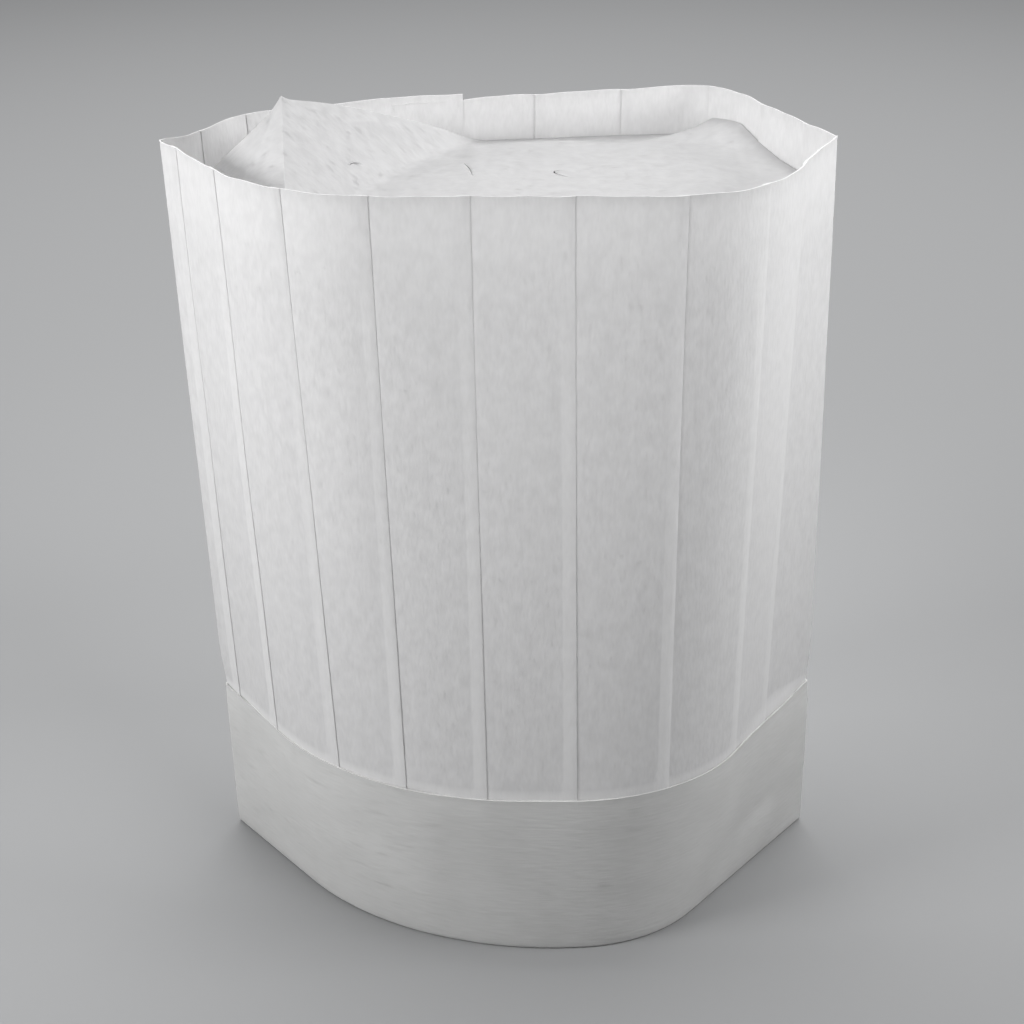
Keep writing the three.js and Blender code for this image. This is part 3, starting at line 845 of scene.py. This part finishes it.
def vent_cutter(start, middle, end, gape):
    """A prism over a lens-shaped slit, tall enough to pass right through the top sheet.

    The slit's middle line is the parabola through its three points. Its half width is half the gape times half a
    sine wave to the power 0.7.
    """
    part = np.linspace(0, 1, CUTTER_STEPS)[:, None]
    line = parabola(np.array(start), np.array(middle), np.array(end), part)
    along = np.gradient(line, axis=0)
    along /= np.linalg.norm(along, axis=1, keepdims=True)
    across = np.column_stack([-along[:, 1], along[:, 0]]) * gape / 2 * np.sin(np.pi * part) ** 0.7
    edge = np.concatenate([line - across, (line + across)[-2:0:-1]])
    count = len(edge)
    bottom = np.column_stack([edge, np.full(count, CUTTER_FOOT)])
    top = np.column_stack([edge, np.full(count, CUTTER_TOP)])
    here = np.arange(count)
    on = np.roll(here, -1)
    walls = np.stack([here, on, on + count, here + count], axis=1).tolist()

    # Lid and base are strips from side to side. At the slit's ends they are triangles, and dict.fromkeys drops
    # the corner that comes twice.
    across_slit = np.arange(1, CUTTER_STEPS - 1)
    pairs = np.concatenate([[0], across_slit, [CUTTER_STEPS - 1]])
    mates = np.concatenate([[0], count - across_slit, [CUTTER_STEPS - 1]])
    strips = np.stack([pairs[:-1], pairs[1:], mates[1:], mates[:-1]], axis=1)
    lid = [list(dict.fromkeys((strip + count).tolist())) for strip in strips]
    base = [list(dict.fromkeys(strip[::-1].tolist())) for strip in strips]
    points = np.concatenate([bottom, top])
    return make_sheet("vent_cutter", points, walls + lid + base, np.zeros((len(points), 2)))


for vent in VENTS:
    cutter = vent_cutter(*vent)
    cut = panel.modifiers.new("vent", "BOOLEAN")
    cut.operation = "DIFFERENCE"
    cut.solver = "EXACT"
    cut.object = cutter
    apply_modifiers(panel)
    bpy.data.objects.remove(cutter)
print("The vented sheet has", len(panel.data.polygons), "faces")

# %% [markdown]
# The nonwoven finish.
#
# The crown and the top are a thin web of fibres pressed together. Held to the light it is cloudy, because the
# fibres lie thicker in some places, and near by you see the fibres themselves. Light leaves it in two ways: most
# comes back from the front, and part comes through from behind, so two layers look whiter than one. A plain
# white diffuse shader would miss that, so a matte Principled shader is mixed with a Translucent one. The noise
# is read from the flat sheet. On top of that the crown's colour is painted a little whiter where something lies
# behind it, as painted light: a pleat's other layers, the band's inner wall or the top sheet's edge. The top
# sheet's colours are painted darker than the crown's, as painted shade.

# %% Finishes
MATTE = 0.9
SPECULAR = 0.2
RELIEF_DEPTH = 0.0002

# Which part of the noise's range counts as web and as fleck, and how much more light a fleck lets through.
WEB_RANGE = (0.6, 1.4)
FLECK_RANGE = (0.72, 0.85)
FLECK_THROUGH = 0.12

# How far the colour is painted towards the painted-light white over a strip, and how much further over the
# band's inner wall.
STRIP_LIGHT_MIX = 0.55
WALL_LIGHT_MIX = 0.35


def feed(tree, socket, value):
    """Sets a socket to a plain value, or links another node's output to it."""
    if isinstance(value, bpy.types.NodeSocket):
        tree.links.new(value, socket)
    else:
        socket.default_value = value


def add_node(tree, kind, **inputs):
    """A new node with its named inputs fed; an underscore in a name stands for a space."""
    node = tree.nodes.new(kind)
    for name, value in inputs.items():
        feed(tree, node.inputs[name.replace("_", " ")], value)
    return node


def sheet_noise(tree, stretch, per_metre, detail=1.0):
    """Flat noise read from the sheet's own metres, stretched along or up the sheet."""
    uv = tree.nodes.new("ShaderNodeUVMap")
    uv.uv_map = "flat_sheet"
    mapping = add_node(tree, "ShaderNodeMapping", Vector=uv.outputs["UV"], Scale=(*stretch, 1))
    noise = add_node(tree, "ShaderNodeTexNoise", Vector=mapping.outputs["Vector"], Scale=per_metre)
    noise.noise_dimensions = "2D"
    noise.inputs["Detail"].default_value = detail
    noise.inputs["Roughness"].default_value = 0.5
    return noise.outputs["Fac"]


def remap(tree, value, low, high, to_low, to_high):
    """A value's range, moved to another range in a straight line and held there."""
    node = add_node(tree, "ShaderNodeMapRange", Value=value, From_Min=low, From_Max=high)
    node.inputs["To Min"].default_value = to_low
    node.inputs["To Max"].default_value = to_high
    node.clamp = True
    return node.outputs["Result"]


def combine(tree, operation, first, second):
    """One Math node on two values, either of which may be a plain number."""
    node = tree.nodes.new("ShaderNodeMath")
    node.operation = operation
    for socket, value in zip(node.inputs, (first, second)):
        feed(tree, socket, value)
    return node.outputs["Value"]


def mix_colour(tree, factor, first, second):
    """A colour mixed by a factor. The first and the second are each a plain colour or a socket."""
    node = tree.nodes.new("ShaderNodeMix")
    node.data_type = "RGBA"
    for name, value in (("Factor", factor), ("A", first), ("B", second)):
        feed(tree, node.inputs[name], value)
    return node.outputs["Result"]


def nonwoven(name, thin, dense, through, clouds, fibres, flecks, bump, backed_light_white=None):
    """Clouds, fibres and thin flecks of a nonwoven web, as colour, as bump and as how much it lets through.

    Clouds, fibres and flecks are each (stretch, how many to the metre), and through is the share of light let
    through where the web is (thin, dense). The web is the sum of clouds and fibres, and flecks let a little more
    through. Where something lies behind the sheet, its colour is painted towards the last colour given, as
    painted light.
    """
    material = bpy.data.materials.new(name)
    material.use_nodes = True
    tree = material.node_tree
    tree.nodes.clear()
    cloud_noise = sheet_noise(tree, *clouds)
    fibre_noise = sheet_noise(tree, *fibres)
    fleck_noise = sheet_noise(tree, *flecks, detail=0.0)
    web = remap(tree, combine(tree, "ADD", cloud_noise, fibre_noise), *WEB_RANGE, 0, 1)
    fleck = remap(tree, fleck_noise, *FLECK_RANGE, 0, 1)
    colour = mix_colour(tree, web, thin, dense)
    through_web = remap(tree, web, 0, 1, *through)
    let_through = combine(tree, "ADD", through_web, combine(tree, "MULTIPLY", fleck, FLECK_THROUGH))
    # Painted light: where cloth lies behind the sheet, the colour is painted towards a whiter one.
    if backed_light_white is not None:
        backing_light_paint = tree.nodes.new("ShaderNodeAttribute")
        backing_light_paint.attribute_name = "painted_layer_light"
        outside, inside = LIGHT_STRIP_EDGE["outside"], LIGHT_STRIP_EDGE["inside"]
        strip = remap(tree, backing_light_paint.outputs["Fac"], outside, inside, 0, STRIP_LIGHT_MIX)
        wall = remap(tree, backing_light_paint.outputs["Fac"], inside, 1, 0, WALL_LIGHT_MIX)
        colour = mix_colour(tree, combine(tree, "ADD", strip, wall), colour, backed_light_white)
    relief = add_node(tree, "ShaderNodeBump", Height=fibre_noise, Strength=bump, Distance=RELIEF_DEPTH)
    normal = relief.outputs["Normal"]
    surface = add_node(tree, "ShaderNodeBsdfPrincipled", Base_Color=colour, Roughness=MATTE, Normal=normal)
    surface.inputs["Specular IOR Level"].default_value = SPECULAR
    behind = add_node(tree, "ShaderNodeBsdfTranslucent", Color=colour, Normal=normal)
    lit = add_node(tree, "ShaderNodeMixShader", Fac=let_through)
    tree.links.new(surface.outputs["BSDF"], lit.inputs[1])
    tree.links.new(behind.outputs["BSDF"], lit.inputs[2])
    add_node(tree, "ShaderNodeOutputMaterial", Surface=lit.outputs["Shader"])
    return material


# The crown's colour is painted whiter where cloth lies behind it, as painted light.
crown_finish_and_painted_light = nonwoven(
    "thin nonwoven", thin=(0.75, 0.747, 0.749, 1), dense=(0.805, 0.802, 0.804, 1), through=(0.19, 0.14),
    clouds=((1, 0.7), 250), fibres=((1, 0.35), 900), flecks=((1, 0.45), 850), bump=0.3,
    backed_light_white=(0.925, 0.922, 0.922, 1),
)
# The top sheet's colours are painted darker than the crown's, as painted shade.
top_finish_and_painted_shade = nonwoven(
    "top nonwoven", thin=(0.655, 0.653, 0.656, 1), dense=(0.69, 0.688, 0.691, 1), through=(0.40, 0.34),
    clouds=((1, 1), 220), fibres=((0.5, 1), 800), flecks=((0.6, 1), 480), bump=0.25,
)
band_finish = nonwoven(
    "folded band nonwoven", thin=(0.79, 0.79, 0.78, 1), dense=(0.83, 0.83, 0.82, 1), through=(0.24, 0.18),
    clouds=((0.6, 1), 60), fibres=((0.12, 1), 1100), flecks=((0.15, 1), 700), bump=0.35,
)
for piece, finish in ((crown, crown_finish_and_painted_light), (band, band_finish), (panel, top_finish_and_painted_shade)):
    piece.data.materials.clear()
    piece.data.materials.append(finish)
print("Finishes:", [material.name for material in (crown_finish_and_painted_light, top_finish_and_painted_shade, band_finish)])

# %% [markdown]
# The camera.
#
# The photograph was taken from in front and a little above. The place, the tilt and the lens come from fitting a
# pinhole camera to the hat's creases, rim and band. The picture is square, so the lens in millimetres is the
# fitted focal length in pixels times the sensor's width over the picture's width.

# %% The camera
SENSOR_WIDTH = 36
PICTURE_WIDTH = 1024
FOCAL_PIXELS = 2269
EYE = (8.26, -716.6, 435.7)
PITCH, YAW, ROLL = np.radians([23.582, -0.787, -0.560])

forward = np.array([np.sin(YAW) * np.cos(PITCH), np.cos(YAW) * np.cos(PITCH), -np.sin(PITCH)])
level_right = np.array([np.cos(YAW), -np.sin(YAW), 0])
level_up = np.cross(level_right, forward)
camera_right = np.cos(ROLL) * level_right + np.sin(ROLL) * level_up
camera_up = -np.sin(ROLL) * level_right + np.cos(ROLL) * level_up
camera_data = bpy.data.cameras.new("photo_camera")
camera_data.sensor_width = SENSOR_WIDTH
camera_data.lens = camera_data.sensor_width * FOCAL_PIXELS / PICTURE_WIDTH
camera_data.clip_start = 0.01
camera = bpy.data.objects.new("photo_camera", camera_data)
camera.matrix_world = Matrix((camera_right, camera_up, -forward)).transposed().to_4x4()
camera.location = Vector((EYE[0] * MM + place_x, EYE[1] * MM + place_y, EYE[2] * MM))
scene.collection.objects.link(camera)
scene.camera = camera
print("The lens is", round(camera_data.lens, 1), "mm")

# %% [markdown]
# Floor and light.
#
# A white thing on a pale floor is shown by its shading, so the light comes mostly from the sides: a softbox close
# at the left and a weaker one at the right, with the middle of the front the darkest. One above the front right
# lights the top sheet, a large one behind lights the floor there, and a weak sky fills in the rest. One big
# light from the front would be simpler, but it would flatten the pleats.

# %% Floor and light
FLOOR_SIZE = 6.0
FLOOR_COLOUR = (0.37, 0.373, 0.378, 1)
SKY_COLOUR = (0.975, 0.98, 0.99, 1)


def plain_material(name, colour):
    """A matte material of one colour."""
    material = bpy.data.materials.new(name)
    material.use_nodes = True
    shader = material.node_tree.nodes["Principled BSDF"]
    shader.inputs["Base Color"].default_value = colour
    shader.inputs["Roughness"].default_value = MATTE
    shader.inputs["Specular IOR Level"].default_value = SPECULAR
    return material


def add_panel_light(name, place, target, size, power, spread):
    """An area light of (width, height) that looks from its place to a target, within a cone of its spread."""
    data = bpy.data.lights.new(name, "AREA")
    data.shape = "RECTANGLE"
    data.size, data.size_y = size
    data.energy = power
    data.spread = np.radians(spread)
    light = bpy.data.objects.new(name, data)
    light.location = place
    light.rotation_euler = (Vector(target) - Vector(place)).to_track_quat("-Z", "Y").to_euler()
    scene.collection.objects.link(light)
    return light


floor_mesh = bpy.data.meshes.new("floor")
half = FLOOR_SIZE / 2
floor_corners = [(-half, -half, 0), (half, -half, 0), (half, half, 0), (-half, half, 0)]
floor_mesh.from_pydata(floor_corners, [], [(0, 1, 2, 3)])
floor = bpy.data.objects.new("floor", floor_mesh)
floor_mesh.materials.append(plain_material("pale floor", FLOOR_COLOUR))
scene.collection.objects.link(floor)

# The powers are in watts.
LEFT_POWER, RIGHT_POWER, TOP_POWER, BACK_POWER, SKY = 0.68, 0.42, 0.25, 17, 0.14
add_panel_light("left_softbox", (-0.6, -0.33, 0.38), (0, 0, 0.22), (0.3, 0.2), LEFT_POWER, spread=70)
add_panel_light("right_softbox", (0.62, -0.12, 0.42), (0, 0, 0.24), (0.3, 0.2), RIGHT_POWER, spread=70)
add_panel_light("top_softbox", (0.28, -0.34, 0.7), (0, 0, 0.25), (0.3, 0.3), TOP_POWER, spread=60)
add_panel_light("back_softbox", (0, 0.8, 1.6), (0, 0.75, 0), (1.6, 1.6), BACK_POWER, spread=120)
world = bpy.data.worlds.new("soft world")
world.use_nodes = True
background = world.node_tree.nodes["Background"]
background.inputs["Color"].default_value = SKY_COLOUR
background.inputs["Strength"].default_value = SKY
scene.world = world
scene.view_settings.view_transform = "Standard"

# %% [markdown]
# Putting the pieces in the frame.
#
# The three sheets take the places of the three imported solids: each is attached to the root body, and the
# imported solid is hidden. The top sheet's cut is an oval.

# %% Attaching the pieces
for piece, node, slot in (
    (crown, "crown", "crown_sheet"),
    (band, "headband", "band_strip"),
    (panel, "top_panel", "top_sheet"),
):
    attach(piece, "root")
    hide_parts(node)
